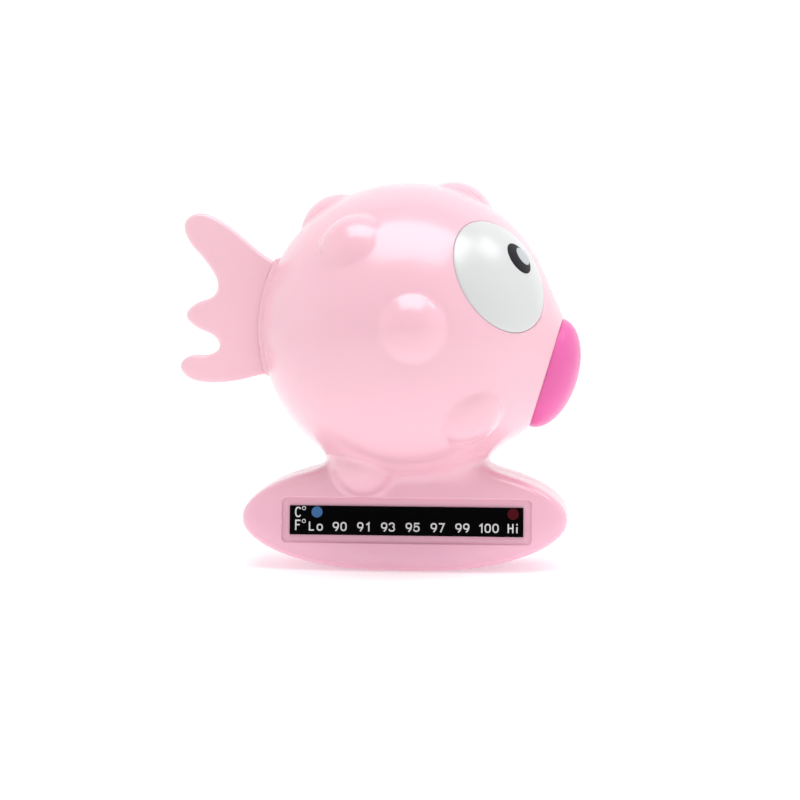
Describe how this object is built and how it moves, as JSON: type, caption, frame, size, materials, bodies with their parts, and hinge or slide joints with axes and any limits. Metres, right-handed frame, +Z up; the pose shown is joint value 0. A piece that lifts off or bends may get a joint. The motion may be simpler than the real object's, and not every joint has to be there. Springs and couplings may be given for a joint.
{
  "type": "floating bath and pool thermometer",
  "caption": "Round fish-shaped floating thermometer on an oval base, with a liquid-crystal temperature strip in the face of the base.",
  "frame": {"origin": "centre of the flat foot under the oval base", "axes": "+X towards the mouth, +Z up, -Y the side that carries the strip"},
  "size_m": [0.1205, 0.094, 0.1149],
  "materials": {
    "shell_pink": "glossy",
    "tail_pink": "glossy",
    "mouth_pink": "glossy",
    "eye_white": "glossy",
    "eye_black": "glossy",
    "eye_grey": "glossy",
    "seal_rubber": "matte",
    "clip_steel": "satin",
    "adhesive": "tacky film",
    "film_black": "satin film",
    "crystal_black": "liquid-crystal ink",
    "spot_blue": "ink",
    "spot_red": "ink",
    "film_print": "glossy printed film",
    "ballast_steel": "zinc plated",
    "screw_steel": "zinc plated",
    "foam": "closed-cell foam",
    "print_white": "printed ink"
  },
  "bodies": {
    "root": {"shell_right": "shell_pink", "shell_left": "shell_pink", "tail_fin": "tail_pink", "mouth": "mouth_pink", "mouth_oring": "seal_rubber", "eye_white_right": "eye_white", "eye_white_left": "eye_white", "eye_pupil_right": "eye_black", "eye_pupil_left": "eye_black", "eye_glint_right": "eye_grey", "eye_glint_left": "eye_grey", "eye_oring_right": "seal_rubber", "eye_oring_left": "seal_rubber", "eye_clip_right": "clip_steel", "eye_clip_left": "clip_steel", "strip_adhesive": "adhesive", "strip_backing": "film_black", "strip_cells": "crystal_black", "strip_lo_spot": "spot_blue", "strip_hi_spot": "spot_red", "strip_face": "film_print", "ballast_weight": "ballast_steel", "ballast_screws": "screw_steel", "ballast_pad": "foam"}
  },
  "joints": []
}
